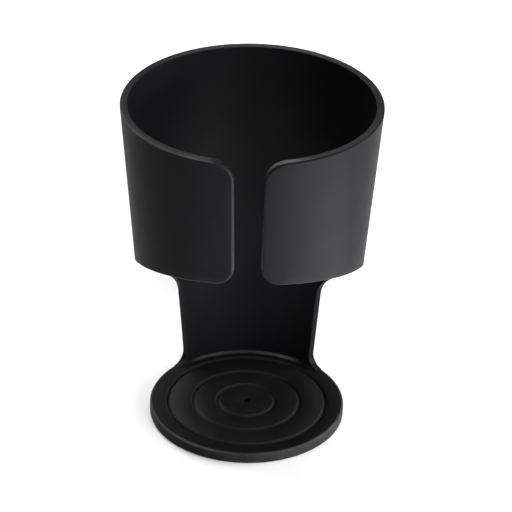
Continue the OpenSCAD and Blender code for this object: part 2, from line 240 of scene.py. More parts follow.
def mark_edge_sheen_and_wear(mesh, amount):
    """Marks convex edges by mean curvature: 0 on faces, amount on roundings of about a millimetre."""
    # On the moulded plastic this mark is a painted highlight along the edges; on the other finishes it is
    # wear.
    bm = bmesh.new()
    bm.from_mesh(mesh)
    co = np.array([v.co[:] for v in bm.verts]) / MM
    normals = np.array([f.normal[:] for f in bm.faces])
    centers = np.array([f.calc_center_median()[:] for f in bm.faces]) / MM
    area = np.zeros(len(co))
    for f in bm.faces:
        share = f.calc_area() / MM / MM / len(f.verts)
        for v in f.verts:
            area[v.index] += share
    ends, sides = [], []
    for e in bm.edges:
        if len(e.link_faces) == 2:
            ends.append((e.verts[0].index, e.verts[1].index))
            sides.append((e.link_faces[0].index, e.link_faces[1].index))
    bm.free()
    ends, sides = np.array(ends), np.array(sides)
    n0, n1 = normals[sides[:, 0]], normals[sides[:, 1]]
    bend = np.arccos(np.clip((n0 * n1).sum(1), -1, 1))
    bend *= -np.sign(((centers[sides[:, 1]] - centers[sides[:, 0]]) * n0).sum(1))
    turn = bend * np.linalg.norm(co[ends[:, 0]] - co[ends[:, 1]], axis=1) / 4
    curve = np.zeros(len(co))
    np.add.at(curve, ends[:, 0], turn)
    np.add.at(curve, ends[:, 1], turn)
    curve /= np.maximum(area, 1e-9)
    wear_and_sheen = np.clip((curve - FLAT_BELOW) / (FULL_MARK_FROM - FLAT_BELOW), 0, 1)
    total, count = wear_and_sheen.copy(), np.ones(len(co))
    for a, b in ((0, 1), (1, 0)):
        np.add.at(total, ends[:, a], wear_and_sheen[ends[:, b]] * 0.5)
        np.add.at(count, ends[:, a], 0.5)
    layer = mesh.attributes.new("wear_and_sheen", "FLOAT", "POINT")
    layer.data.foreach_set("value", (amount * total / count).astype(np.float32))


def place(name, mesh, node, body):
    """Puts a finished mesh in the scene as the piece that stands for a CAD node."""
    # Edge marks: a painted highlight at a third strength on the moulded plastic, full wear on the other
    # finishes.
    mark_edge_sheen_and_wear(mesh, PLASTIC_EDGE_HIGHLIGHT if SLOTS[node] == "moulded_plastic" else 1.0)
    obj = bpy.data.objects.new(name, mesh)
    bpy.context.scene.collection.objects.link(obj)
    mesh.materials.clear()
    mesh.materials.append(MATS[SLOTS[node]])
    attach(obj, body)
    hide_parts(node)


def turns(seg):
    """Evenly spaced angles round a circle, in radians."""
    return [2 * math.pi * i / seg for i in range(seg)]


def arc(cx, cy, r, a0, a1, steps):
    """Points on a circle from angle a0 to a1, in degrees."""
    return [(cx + r * math.cos(math.radians(a0 + (a1 - a0) * i / steps)),
             cy + r * math.sin(math.radians(a0 + (a1 - a0) * i / steps))) for i in range(steps + 1)]


def fillet(points, radii, steps=6):
    """Rounds the corners of a closed outline. radii is one number or one for each point."""
    n = len(points)
    radii = [radii] * n if isinstance(radii, (int, float)) else radii
    out = []
    for i in range(n):
        p, a, b = (np.array(points[k % n], float) for k in (i, i - 1, i + 1))
        u, v = a - p, b - p
        lu, lv = np.linalg.norm(u), np.linalg.norm(v)
        u, v = u / lu, v / lv
        ang = math.acos(max(-1, min(1, float(u @ v))))
        r = radii[i]
        if r <= 0 or ang > math.pi - 1e-3:
            out.append(tuple(p))
            continue
        d = min(r / math.tan(ang / 2), 0.499 * lu, 0.499 * lv)
        r = d * math.tan(ang / 2)
        mid = (u + v) / np.linalg.norm(u + v)
        c = p + mid * (r / math.sin(ang / 2))
        s, e = p + u * d - c, p + v * d - c
        a0, a1 = math.atan2(s[1], s[0]), math.atan2(e[1], e[0])
        da = (a1 - a0 + math.pi) % (2 * math.pi) - math.pi
        out += [(c[0] + r * math.cos(a0 + da * k / steps), c[1] + r * math.sin(a0 + da * k / steps))
                for k in range(steps + 1)]
    return out


def inward(pts):
    """Unit normals that point into a closed outline, scaled for its corners."""
    p = np.array(pts, float)
    q = np.roll(p, -1, 0)
    double_area = float((p[:, 0] * q[:, 1] - q[:, 0] * p[:, 1]).sum())
    e = q - p
    e /= np.maximum(np.linalg.norm(e, axis=1, keepdims=True), 1e-9)
    n = np.stack([-e[:, 1], e[:, 0]], 1) * (1 if double_area > 0 else -1)
    m = n + np.roll(n, 1, 0)
    return m / np.maximum((m * m).sum(1, keepdims=True) / 2, 0.5)


def rings_to_mesh(rings, closed=False):
    """Skins rings of points. The first and last are capped, or joined to each other if closed."""
    n = len(rings[0])
    verts = [tuple(p) for r in rings for p in r]
    faces = []
    m = len(rings)
    for j in range(m if closed else m - 1):
        a, b = j * n, ((j + 1) % m) * n
        faces += [(a + i, a + (i + 1) % n, b + (i + 1) % n, b + i) for i in range(n)]
    if not closed:
        faces += [tuple(range(n))[::-1], tuple((m - 1) * n + i for i in range(n))]
    return verts, faces


def slab(outline, lo, hi, r_lo, r_hi, to3, steps=4):
    """A prism of a smooth outline with rounded ends. to3 turns (u, v, height) into a point."""
    p, n = np.array(outline, float), inward(outline)
    levels = [(r_lo * (1 - math.sin(t)), lo + r_lo * (1 - math.cos(t)))
              for t in np.linspace(0, math.pi / 2, steps + 1)]
    levels += [(r_hi * (1 - math.cos(t)), hi - r_hi * (1 - math.sin(t)))
               for t in np.linspace(0, math.pi / 2, steps + 1)]
    rings = []
    for inset, h in levels:
        q = p + n * inset
        rings.append([to3(x, y, h) for x, y in q])
    return rings_to_mesh(rings)


def along_z(x, y, h):
    """One of the ways to stand a slab: its height runs along Z."""
    return (x, y, h)


def along_y(x, y, h):
    return (x, h, y)


def along_x(x, y, h):
    return (h, x, y)


def lathe(profile, seg=192):
    """Turns a closed profile of (radius, height) about the holder's axis, from the front."""
    rings = [[(r * math.sin(a), -r * math.cos(a), z) for r, z in profile] for a in turns(seg)]
    return weld(*rings_to_mesh(rings, closed=True))


def merge(parts):
    """One (vertices, faces) pair from several."""
    verts, faces = [], []
    for v, f in parts:
        k = len(verts)
        verts += list(v)
        faces += [tuple(i + k for i in q) for q in f]
    return verts, faces


def weld(verts, faces, tol=1e-4):
    """Joins vertices at the same place and drops faces that collapse."""
    keys, index, out = {}, [], []
    for v in verts:
        k = tuple(round(c / tol) for c in v)
        if k not in keys:
            keys[k] = len(out)
            out.append(v)
        index.append(keys[k])
    kept = []
    for f in faces:
        g = []
        for i in f:
            j = index[i]
            if not g or g[-1] != j:
                g.append(j)
        if len(g) > 1 and g[0] == g[-1]:
            g.pop()
        if len(set(g)) >= 3:
            kept.append(tuple(g))
    return out, kept


# ---- Cup shell -----------------------------------------------------------------------------

# Lengths in millimetres and angles phi in degrees from the front, the same as the CAD's.
RIM_D, FOOT_D, H, WALL, BASE_T = 95.0, 72.7, 130.7, 3.0, 4.2
TAPER = (RIM_D - FOOT_D) / 2 / H
# Half the slot's angle, the lips' lower and upper corner radii, and the height of their lower edge.
SLOT_HALF, LIP_R, LIP_TOP_R, LIP_LOW = 6.65, 7.0, 8.0, 79.9
RISE, RISE_END = 1.2, 100                          # the rim is higher at the slot, and level from here
# The stem's edge at its root, how much further forward it is at the top, and its upper and lower corner.
STEM_PHI, LEAN, FLARE_R, ROOT_R = 137.4, 1.3, 10.0, 5.0
# The collar's lower edge: its height in front, its drop to the side, and a further one at the rear.
EDGE_FRONT, EDGE_DROP, REAR_DROP, REAR_FROM = 80.6, 14.1, 0.0035, 65
STEP, STEP_PHI = 1.2, 1.4                          # spacing of points along the outline
GRID, GRID_PHI, GRID_GAP = 2.6, 2.4, 0.9           # spacing of points on a face, and gap to its border
LIP_PHI, LIP_Z = 17, 75                            # the lips' edges are in front of and above these
IN_R, OUT_R, OUT_RIM, OUT_LIP = 0.4, 0.5, 0.1, 0.5  # rounding inside and outside, more on rim and lips


def cone_r(z):
    """The outer cone's radius."""
    return FOOT_D / 2 + TAPER * z


def arc_len(z):
    """The length of one degree on the outer cone."""
    return cone_r(z) * math.pi / 180


def rim_z(phi):
    if abs(phi) >= RISE_END:
        return H
    return H + RISE * (1 + math.cos(math.pi * phi / RISE_END)) / 2


def sweep_z(phi):
    """The height of the collar's lower edge."""
    return (EDGE_FRONT - EDGE_DROP * (1 - math.cos(math.radians(phi)))
            - REAR_DROP * max(0, phi - REAR_FROM) ** 2)


def shell_outline():
    """The right half of the wall's outline as (phi, height), from the back's foot round to its rim."""
    flare_arc = arc_len(40)
    top_phi = STEM_PHI - LEAN
    slope = (sweep_z(top_phi - 5 / flare_arc) - sweep_z(top_phi)) / 5
    sine = slope / math.hypot(1, slope)
    flare_phi = top_phi - FLARE_R * (1 - sine) / flare_arc
    flare_z = sweep_z(flare_phi) - FLARE_R * math.sqrt(1 - sine * sine)
    root_phi = STEM_PHI - ROOT_R / arc_len(BASE_T)

    # The foot inside the base plate, and the corner where the stem meets the plate.
    pts = [(a, 1.0) for a in np.arange(180, root_phi, -1.5)]
    pts += [(root_phi, z) for z in (1.0, 2.2, 3.4)]
    for t in np.radians(np.linspace(0, 90, 13)):
        pts.append((STEM_PHI - ROOT_R * (1 - math.sin(t)) / arc_len(BASE_T),
                    BASE_T + ROOT_R * (1 - math.cos(t))))

    # The stem's edge, and its flare into the collar.
    side_z = BASE_T + ROOT_R
    for z in np.arange(side_z + STEP, flare_z - STEP / 2, STEP):
        pts.append((STEM_PHI - LEAN * (z - side_z) / (flare_z - side_z), z))
    for t in np.linspace(0, math.acos(sine), 13):
        pts.append((top_phi - FLARE_R * (1 - math.cos(t)) / flare_arc, flare_z + FLARE_R * math.sin(t)))

    # The collar's lower edge, which levels out beside the slot, and the lip's lower corner.
    corner = SLOT_HALF + LIP_R / arc_len(LIP_LOW)
    for a in np.arange(flare_phi - STEP_PHI, corner + 1.0, -STEP_PHI):
        blend = min(1, max(0, (a - corner) / 8))
        pts.append((a, sweep_z(a) * blend + LIP_LOW * (1 - blend)))
    for t in np.radians(np.linspace(0, 90, 17)):
        z = LIP_LOW + LIP_R * (1 - math.cos(t))
        pts.append((SLOT_HALF + LIP_R * (1 - math.sin(t)) / arc_len(z), z))

    # The slot's edge, the lip's upper corner and the rim.
    corner = SLOT_HALF + LIP_TOP_R / arc_len(H)
    top = rim_z(corner)
    pts += [(SLOT_HALF, z) for z in np.arange(LIP_LOW + LIP_R + STEP, top - LIP_TOP_R - STEP / 2, STEP)]
    for t in np.radians(np.linspace(0, 90, 19)):
        z = top - LIP_TOP_R * (1 - math.sin(t))
        pts.append((SLOT_HALF + LIP_TOP_R * (1 - math.cos(t)) / arc_len(z), z))
    return pts + [(a, rim_z(a)) for a in np.arange(corner + 1.2, 180, STEP_PHI)]


def out_round(a, z):
    """Radius of the wall's outer edge, a degrees from the back."""
    on_rim = min(1.0, max(0.0, (z - (H - 3)) / 2.5))
    at_slot = min(1.0, max(0.0, (abs(a) - (180 - LIP_PHI)) / 4)) * (z > LIP_Z)
    return OUT_R + OUT_RIM * on_rim + OUT_LIP * at_slot


def inside_points(poly, grid, gap):
    """The grid's points that are inside a closed outline and at least gap away from it."""
    inside = np.zeros(len(grid), bool)
    near = np.full(len(grid), np.inf)
    for (x0, z0), (x1, z1) in zip(poly, np.roll(poly, -1, 0)):
        cross = (z0 > grid[:, 1]) != (z1 > grid[:, 1])
        if z1 != z0:
            inside ^= cross & (grid[:, 0] < (x1 - x0) * (grid[:, 1] - z0) / (z1 - z0) + x0)
        d = np.array([x1 - x0, z1 - z0])
        t = np.clip(((grid - (x0, z0)) @ d) / max(d @ d, 1e-9), 0, 1)
        near = np.minimum(near, np.hypot(*(grid - (x0, z0) - t[:, None] * d).T))
    return grid[inside & (near > gap)]


def cup_wall():
    """The wall between its outer and inner cone, with rounded edges all round and exact normals.

    Angles are from the back here, towards +X, so that the slot is where they end.
    """
    right = [(180 - phi, z) for phi, z in shell_outline()]
    loop = right + [(0.0, H)] + [(-a, z) for a, z in right[::-1] if a > 1e-6]
    n = len(loop)
    inner_n = inward([(a * arc_len(z), z) for a, z in loop])
    inner_n /= np.linalg.norm(inner_n, axis=1, keepdims=True)

    def spot(a, z, depth):
        r = cone_r(z) - depth
        t = math.radians(a)
        return (r * math.sin(t), r * math.cos(t), z)

    def axes(a):
        t = math.radians(a)
        out = Vector((math.sin(t), math.cos(t), -TAPER)).normalized()
        side = Vector((math.cos(t), -math.sin(t), 0))
        up = Vector((TAPER * math.sin(t), TAPER * math.cos(t), 1)).normalized()
        return out, side, up

    # A strip round the wall's edge: a quarter circle from the outer face, another to the inner face.
    verts, normals, rings = [], [], []
    quarter = [math.pi / 2 * i / 5 for i in range(6)]
    for (a, z), (na, nz) in zip(loop, inner_n):
        r = out_round(a, z)
        out, side, up = axes(a)
        edge = -(side * na + up * nz)
        strip = [(r * (1 - math.sin(t)), r * (1 - math.cos(t)), out * math.cos(t) + edge * math.sin(t))
                 for t in quarter]
        strip += [(IN_R * (1 - math.cos(t)), WALL - IN_R * (1 - math.sin(t)),
                   edge * math.cos(t) - out * math.sin(t)) for t in quarter]
        rings.append(range(len(verts), len(verts) + len(strip)))
        for off, depth, normal in strip:
            verts.append(spot(a + na * off / arc_len(z), z + nz * off, depth))
            normals.append(normal)
    faces = []
    for a, b in zip(rings, rings[1:] + rings[:1]):
        faces += [(a[i], a[i + 1], b[i + 1], b[i]) for i in range(len(a) - 1)]

    # The two faces: the strip's border and a grid of points inside it, in one triangulation each.
    flat = arc_len(70)
    grid = np.array([(x, z) for x in np.arange(-172, 172.1, GRID_PHI) * flat
                     for z in np.arange(GRID, H + RISE, GRID)])
    for inner in (False, True):
        border = [r[-1] if inner else r[0] for r in rings]
        poly = []
        for (a, z), (na, nz) in zip(loop, inner_n):
            off = IN_R if inner else out_round(a, z)
            poly.append(((a + na * off / arc_len(z)) * flat, z + nz * off))
        poly = np.array(poly)
        pts = [Vector(p) for p in np.vstack([poly, inside_points(poly, grid, GRID_GAP)])]
        got = geometry.delaunay_2d_cdt(pts, [], [list(range(n))], 1, 1e-6)
        index = []
        for v, source in zip(got[0], got[3]):
            if source and source[0] < n:
                index.append(border[source[0]])
            else:
                a = v[0] / flat
                out = axes(a)[0]
                index.append(len(verts))
                verts.append(spot(a, v[1], WALL if inner else 0))
                normals.append(-out if inner else out)
        for f in got[2]:
            tri = tuple(index[i] for i in f)
            faces.append(tri if inner else tri[::-1])
    return verts, faces, normals


def orient(verts, faces, normals):
    """Turns each face to the side that its vertices' normals point to."""
    v, nn = np.array(verts), np.array([tuple(x) for x in normals])
    out = []
    for f in faces:
        p = v[list(f)]
        c = np.cross(p[1] - p[0], p[2] - p[0])
        if len(f) == 4:
            c = c + np.cross(p[2] - p[0], p[3] - p[0])
        out.append(f if c @ nn[list(f)].sum(0) >= 0 else f[::-1])
    return out


def from_front(x, y):
    """Angle from the front in degrees, positive to the right."""
    return np.degrees(np.arctan2(x, -y))


# How strongly each edge gets the painted highlight, from 0 to 1, at angles from the front: light lines
# where a lamp would catch the edge, none where it would lie in shade. The inner edge of the rim has a share
# of the top's. The fillet's are at positions in millimetres across the holder.
RIM_OUTER_HIGHLIGHT = [(-130, 0), (-95, 0.3), (-75, 0.8), (-19, 1), (-14, 0.2)]
RIM_TOP_HIGHLIGHT = [(-180, 0.33), (-150, 0.35), (-125, 0.02), (-90, 0.16), (-60, 0.2), (-30, 0.25),
                (-22, 0.4), (-18.5, 0.4), (-16.5, 0.06), (0, 0.1), (16, 1), (21, 0.8), (28, 0.28),
                (60, 0.2), (90, 0.12), (120, 0.16), (150, 0.42), (165, 0.46), (180, 0.33)]
RIM_INNER_SHARE = [(-150, 1), (-90, 0.1), (-30, 0.6), (-20, 1)]
PLATE_SIDE_HIGHLIGHT = [(-60, 0.08), (-25, 0.1), (0, 0.26), (20, 0.34), (40, 0.38), (90, 0.3)]
PLATE_EDGE_HIGHLIGHT = [(-120, 0.3), (-60, 0.6), (-30, 0.65), (0, 0.32), (30, 0.4), (60, 0.55), (120, 0.3)]
FILLET_HIGHLIGHT = [(-22, 0), (-18.5, 0.3), (-14, 0.4), (0, 0.34), (6, 0.5), (12, 1), (16, 0.8), (20, 0.05)]
PLATE_TOP_R = 35.6                                 # the base plate's edges are outside this radius
STEM_TOP, STEM_SIDE = 46, 120                      # the stem's edges are below and behind these


def along(pairs, x):
    """Reads a table of pairs at x."""
    return np.interp(x, *zip(*pairs))


def wall_painted_highlight(x, y, z, w):
    """Painted highlight: the rim's outer edge is lit at the front left, its top all round and most beside
    the slot, and the stem's edges are painted darker.
    """
    phi = from_front(x, y)
    depth = FOOT_D / 2 + TAPER * z - np.hypot(x, y)
    top = np.array([rim_z(p) for p in phi])
    outer = along(RIM_OUTER_HIGHLIGHT, phi) * (phi < 0)
    flat = along(RIM_TOP_HIGHLIGHT, phi)
    inner = flat * along(RIM_INNER_SHARE, phi)
    # Bands across the rim, by depth from the outer face.
    on_rim = np.select([depth < 0.02, depth < 0.5, depth < 1.2, depth < 2.65, depth < 2.97],
                       [0, outer, flat, inner, 0.8 * inner * (np.abs(phi) > 110)], 0)
    rim = z > top - 0.7
    w = np.where(rim, on_rim, w)

    # Painted glint: the right lip is lit only at its upper corner, the left one along its whole edge.
    lip = (np.abs(phi) < LIP_PHI) & ~rim & (z > LIP_Z)
    bend = np.clip((z - top + 6) / 4, 0, 1) * (depth > 0.9) * (depth < 2.7)
    right = np.maximum(0.12 * w, bend)
    left = w * np.where(z > top - 8, 0.45, 0.7)
    w = np.where(lip, np.where(phi > 0, right, left), w)

    # Painted shade: the stem's lower edges lose their light edge marks, all of them on the right and most
    # on the left.
    stem = (z < STEM_TOP) & (np.abs(phi) > STEM_SIDE)
    return np.where(stem, np.where(phi > 0, 0, 0.3 * w), w)


def plate_painted_highlight(x, y, z, w):
    # Painted highlight on the base plate's rounded top edge and its side, stronger where a lamp would catch
    # them.
    phi = from_front(x, y)
    painted_edge_light = np.where(z > BASE_T - 0.45, along(PLATE_EDGE_HIGHLIGHT, phi), along(PLATE_SIDE_HIGHLIGHT, phi))
    return np.where(np.hypot(x, y) < PLATE_TOP_R, w, painted_edge_light)


def fillet_painted_highlight(x, y, z, w):
    # A painted highlight along the fillet at the stem's root, brightest right of the middle.
    return along(FILLET_HIGHLIGHT, x)


verts, faces, normals = cup_wall()
make("cup_wall", verts, orient(verts, faces, normals), "cup_shell", "holder", normals=normals,
     wear_and_sheen=wall_painted_highlight)

RECESS_R, RECESS_Z = 29.8, BASE_T - 1.8            # the recess in the base plate that holds the mat
PLATE_R = 0.6                                      # rounding of the base plate's edges
plate_profile = [(0.0, 0.0)] + arc(cone_r(0) - PLATE_R, PLATE_R, PLATE_R, -90, 0, 5)
plate_profile += arc(cone_r(BASE_T) - 0.35 - PLATE_R, BASE_T - PLATE_R, PLATE_R, 0, 90, 6)
plate_profile += [(cone_r(BASE_T) - 1.3, BASE_T), (RECESS_R + 1.0, BASE_T), (RECESS_R + 0.9, BASE_T - 0.03),
                  (RECESS_R + 0.06, BASE_T - 0.84), (RECESS_R, BASE_T - 0.92), (RECESS_R, RECESS_Z),
                  (0.0, RECESS_Z)]
make("base_plate", *lathe(plate_profile), "cup_shell", "holder", sharp=35, wear_and_sheen=plate_painted_highlight)


def groove(r, half=1.0, depth=0.9):
    """A V groove's profile as (radius, depth below the face), from its inner edge outwards."""
    return [(r - half - 0.12, 0), (r - half + 0.08, -0.05), (r - 0.12, -depth + 0.05), (r, -depth),
            (r + 0.12, -depth + 0.05), (r + half - 0.08, -0.05), (r + half + 0.12, 0)]


MAT_R, MAT_TOP, GROOVES = 29.6, high("base_mat")[2], (20.05, 10.8)
mat_profile = [(1.5, RECESS_Z), (MAT_R, RECESS_Z), (MAT_R, MAT_TOP - 0.92), (MAT_R - 0.06, MAT_TOP - 0.84),
               (MAT_R - 0.8, MAT_TOP - 0.06), (MAT_R - 1, MAT_TOP)]
for r in GROOVES:
    mat_profile += [(x, MAT_TOP + d) for x, d in groove(r)[::-1]]
mat_profile += [(1.6, MAT_TOP), (1.52, MAT_TOP - 0.03), (1.5, MAT_TOP - 0.1)]
make("base_mat_grooved", *lathe(mat_profile), "base_mat", "holder", sharp=60)

# Fillet where the stem's inner face meets the base. It fades out just past the stem's edges.
FILLET = 0.9
rings = []
r_in = cone_r(BASE_T) - WALL
span = 180 - STEM_PHI + 9
for a in np.linspace(-span, span, 90):
    size = FILLET * min(1.0, (span - abs(a)) / 3 + 0.15)
    row = [(r_in + 0.02 - size * (1 - math.sin(t)), BASE_T + size * (1 - math.cos(t)) - 0.01)
           for t in np.linspace(0, math.pi / 2, 9)]
    row += [(r_in + 0.6, BASE_T + size), (r_in + 0.6, BASE_T - 0.5), (r_in - size, BASE_T - 0.5)]
    t = math.radians(a)
    rings.append([(r * math.sin(t), r * math.cos(t), z) for r, z in row])
make("stem_root_fillet", *rings_to_mesh(rings), "cup_shell", "holder", sharp=40, wear_and_sheen=fillet_painted_highlight)

# ---- Rear boss and hinge leaf ----------------------------------------------------------------

PIVOT_Y, SCREW_Y = 59.5, 93.0                      # the swivel's axis and the clamp screw's axis
BOSS_HALF, BOSS_Y, BOSS_MID_Z = 16.0, 49.0, 67.0   # half its width, its flat face and its middle height


def box_outline(x0, y0, x1, y1, r, steps=6):
    return fillet([(x0, y0), (x1, y0), (x1, y1), (x0, y1)], r, steps)


def boss_ring(y, z0, z1, grow=0.0):
    """A rounded rectangle with points along its sides, so that it can be bent round the wall."""
    corners = box_outline(-BOSS_HALF - grow, z0, BOSS_HALF + grow, z1, 4.0)
    ring = []
    for (xa, za), (xb, zb) in zip(corners, corners[1:] + corners[:1]):
        cuts = 10 if math.hypot(xb - xa, zb - za) > 8 else 1
        ring += [(xa + (xb - xa) * i / cuts, y, za + (zb - za) * i / cuts) for i in range(cuts)]
    return ring


def in_wall(x, z):
    return (x, math.sqrt((cone_r(z) - 0.5 * WALL) ** 2 - x * x), z)


# The boss's hidden end lies inside the wall. Then come its sloping sides and its rounded face.
rings = [[in_wall(k * x, BOSS_MID_Z + k * (z - BOSS_MID_Z)) for x, _, z in boss_ring(0, 42, 92)]
         for k in (0.04, 0.3, 0.55, 0.8, 1.0)]
rings += [boss_ring(BOSS_Y - back, z0, z1, grow) for back, z0, z1, grow in (
    (6.4, 42.2, 91.8, 0), (1.0, 44.8, 90.1, 0), (0.45, 45.15, 89.85, -0.12), (0.12, 45.5, 89.5, -0.45),
    (0, 46, 89, -0.95))]
make("rear_boss", *rings_to_mesh(rings), "cup_shell", "holder", sharp=50)


def turned(profile, to3, seg=96):
    """A closed profile of (radius, height), turned about the local height axis."""
    rings = [[to3(r * math.cos(a), r * math.sin(a), h) for r, h in profile] for a in turns(seg)]
    return weld(*rings_to_mesh(rings, closed=True))


def upright(cy):
    """Puts a turned shape's axis along Z through (0, cy)."""
    return lambda x, y, h: (x, cy + y, h)


def lying(cx, y0, cz):
    """Puts a turned shape's axis along Y through (cx, cz), with its height 0 at y0."""
    return lambda x, y, h: (cx + x, y0 + h, cz + y)


def soft(points, r):
    """A turned profile with its corners rounded, except where it touches the axis."""
    return fillet(points, [0 if p[0] == 0 else r for p in points], 4)


def hexagon(flat, a):
    """A hexagon's radius at angle a, for flats at the given distance from its middle."""
    return flat / math.cos(a % (math.pi / 3) - math.pi / 6)


ON_PIVOT, ON_SCREW = upright(PIVOT_Y), upright(SCREW_Y)
COS30 = math.cos(math.pi / 6)
LEAF_Y, LEAF_Z0, LEAF_Z1 = BOSS_Y + 3, 44, 88      # the leaf's rear face and its ends
B0, B1 = low("hinge_leaf")[2] + 14, high("hinge_leaf")[2] - 14      # the barrel's ends
BARREL_R, BARREL_BORE = 6.5, 4.05

leaf = [slab(box_outline(-BOSS_HALF, LEAF_Z0, BOSS_HALF, LEAF_Z1, 3.0), BOSS_Y, LEAF_Y, 0.2, 0.7, along_y),
        turned(soft([(BARREL_BORE, B0), (BARREL_R, B0), (BARREL_R, B1), (BARREL_BORE, B1)], 0.5), ON_PIVOT),
        slab(box_outline(-4.5, 50.5, 4.5, PIVOT_Y - 3.5, 0.8), B0 + 0.3, B1 - 0.3, 0.6, 0.6, along_z)]
for side in (-1, 1):                               # the hollow corners between plate and barrel
    foot = [(side * 4.3, 51.6), (side * 8.0, 51.6)]
    foot += [(side * (8.0 - 3.8 * math.sin(t)), 51.9 + 3.8 * (1 - math.cos(t)))
             for t in np.radians(range(0, 91, 15))]
    leaf.append(slab(foot[::-side], B0 + 0.5, B1 - 0.5, 0.1, 0.1, along_z))
make("hinge_leaf_plate", *merge(leaf), "hinge_leaf", "holder", sharp=35)


def button_head(to3, height=2.2, socket=1.45, depth=1.4, seg=48):
    """A screw's button head with a hexagon socket, from its seat at height 0."""
    crown = [(3.45, 0.0), (3.6, 0.15), (3.58, 0.5), (3.4, 1.0), (3.05, 1.55), (2.6, 1.95), (2.1, height)]
    walls = [(socket + 0.12, height), (socket, height - 0.12), (socket, height - depth)]
    rings = [[(r, h)] * seg for r, h in crown]
    rings += [[(hexagon(r * COS30, a), h) for a in turns(seg)] for r, h in walls]
    rings += [[(0.5, height - depth - 0.35)] * seg]
    return rings_to_mesh([[to3(r * math.cos(a), r * math.sin(a), h) for a, (r, h) in zip(turns(seg), ring)]
                          for ring in rings])


SCREW_X, SCREW_Z = (-10, 10), (52, 80)
shank = [(0, -8), (2.0, -8), (2.0, 0.2), (0, 0.2)]
heads = []
for x in SCREW_X:
    for z in SCREW_Z:
        heads += [button_head(lying(x, LEAF_Y, z)), turned(shank, lying(x, LEAF_Y, z), 32)]
make("leaf_screw_heads", *merge(heads), "leaf_screws", "holder", sharp=32)

bushes = []
for z, out in ((B0, -1), (B1, 1)):
    outline = [(3.05, z - out * 6.9), (4.0, z - out * 6.9), (4.0, z), (6.0, z), (6.0, z + out * 0.9),
               (3.05, z + out * 0.9)]
    bushes.append(turned(soft(outline, 0.2), ON_PIVOT))
make("swivel_bush_pair", *merge(bushes), "swivel_bushes", "holder", sharp=40)

# ---- Clamp frame: separate rounded solids, fused to one casting with soft inner corners ----------

VOXEL, SMOOTH_ROUNDS, KEEP_FACES = 0.45, 8, 0.4


def fused(name, parts, node, body):
    """One piece from overlapping closed parts, with their seams smoothed."""
    tmp = bpy.data.objects.new(name + "_tmp", mesh_from(name, *merge(parts)))
    bpy.context.scene.collection.objects.link(tmp)
    remesh = tmp.modifiers.new("remesh", "REMESH")
    remesh.mode = "VOXEL"
    remesh.voxel_size = VOXEL * MM
    smooth = tmp.modifiers.new("smooth", "SMOOTH")
    smooth.factor = 0.5
    smooth.iterations = SMOOTH_ROUNDS
    tmp.modifiers.new("decimate", "DECIMATE").ratio = KEEP_FACES
    out = bpy.data.meshes.new_from_object(tmp.evaluated_get(bpy.context.evaluated_depsgraph_get()))
    bpy.data.objects.remove(tmp)
    out.name = name
    out.shade_smooth()
    place(name, out, node, body)


EAR0, EAR1 = B0 - 8, B1 + 8                        # the ears' outer faces
SPINE0, SPINE1 = 67, 73                            # the spine's front and rear face, along Y
JAW0, JAW1, ARM0, ARM1 = 80, 84, 26, 34            # the upper jaw's and lower arm's faces
FRAME_HALF, EAR_R = 20, 6.5
jaw = fillet([(-FRAME_HALF, 67.5), (FRAME_HALF, 67.5), (FRAME_HALF, 109), (-FRAME_HALF, 109)],
             [2, 2, 9, 9], 12)
arm = fillet([(-19.7, 68), (19.7, 68), (19.7, 74.5), (10.4, 90.5), (-10.4, 90.5), (-19.7, 74.5)],
             [1, 1, 4, 3, 3, 4], 8)
arm_end = soft([(0, ARM0), (11, ARM0), (11, ARM1), (0, ARM1)], 1.3)
rib = fillet([(72, 19.8), (74.3, 19.8), (81.5, 27.4), (72, 27.4)], [0.5, 1, 1, 0.5])
corner = [(72, 33)]                                # the hollow corner between arm and spine
corner += [(77.0 - 4 * math.cos(t), 37.95 - 4 * math.sin(t)) for t in np.radians(range(0, 91, 10))]
corner += [(77.0, 33)]
casting = [slab(box_outline(-FRAME_HALF, SPINE0, FRAME_HALF, SPINE1, 2.4), 19, JAW1, 2.2, 1.4, along_z),
           slab(jaw, JAW0, JAW1, 1.0, 1.6, along_z),
           slab(arm, ARM0, ARM1, 1.6, 1.6, along_z),
           turned(arm_end, ON_SCREW),
           slab(rib, -3, 3, 0.9, 0.9, along_x),
           slab(corner, -17.5, 17.5, 0.8, 0.8, along_x)]
for z0, z1 in ((EAR0, B0 - 1), (B1 + 1, EAR1)):
    ear = [(EAR_R, 68.5), (EAR_R, PIVOT_Y)]
    ear += [(EAR_R * math.cos(t), PIVOT_Y - EAR_R * math.sin(t)) for t in np.radians(range(10, 180, 10))]
    ear += [(-EAR_R, PIVOT_Y), (-EAR_R, 68.5)]
    casting.append(slab(ear, z0, z1, 0.8, 0.8, along_z))
    for side in (-1, 1):                           # the hollow corners between ear and spine
        web = [(side * 6.2, 67.4), (side * 6.2, 64.0)]
        web += [(side * (9.4 - 3.2 * math.cos(t)), 64.2 + 3.2 * math.sin(t))
                for t in np.radians(range(0, 91, 15))]
        web += [(side * 9.4, 68)]
        casting.append(slab(web[::side], z0 + 0.6, z1 - 0.6, 0.3, 0.3, along_z))
fused("clamp_casting", casting, "clamp_frame", "clamp")

